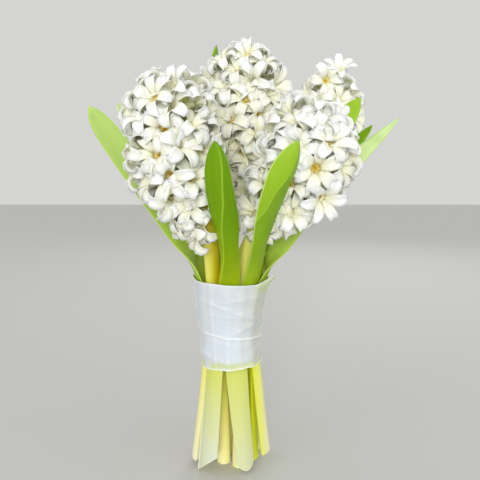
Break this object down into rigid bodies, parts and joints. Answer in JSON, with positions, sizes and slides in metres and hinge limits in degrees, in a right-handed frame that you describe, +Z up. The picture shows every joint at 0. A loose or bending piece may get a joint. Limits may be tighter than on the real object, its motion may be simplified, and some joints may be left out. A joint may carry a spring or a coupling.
{
  "type": "tied bunch of hyacinths",
  "caption": "Hand-tied bunch of white hyacinths with strap leaves, held by a wide white band, standing on its cut ends.",
  "frame": {"origin": "on the surface that the bunch stands on, under the middle of its bounding box", "axes": "+Z up along the stems, -Y towards the front with the two nearest leaves, +X to the right"},
  "size_m": [0.2174, 0.1351, 0.3091],
  "materials": {
    "petal": "soft waxy white petal",
    "leaf": "smooth fresh green leaf with a faint sheen",
    "stem": "smooth pale green stem",
    "band": "smooth slightly sheer white tape"
  },
  "bodies": {
    "root": {"tie_band": "band", "leaf_left": "leaf", "leaf_front": "leaf", "leaf_front_right": "leaf", "leaf_right": "leaf", "leaf_right_inner": "leaf", "leaf_right_low": "leaf", "leaf_back": "leaf", "leaf_left_back": "leaf", "stem_left": "stem", "stem_right": "stem", "stem_centre": "stem", "stem_back": "stem", "head_left": "petal", "head_right": "petal", "head_centre": "petal", "head_back": "petal"}
  },
  "joints": []
}
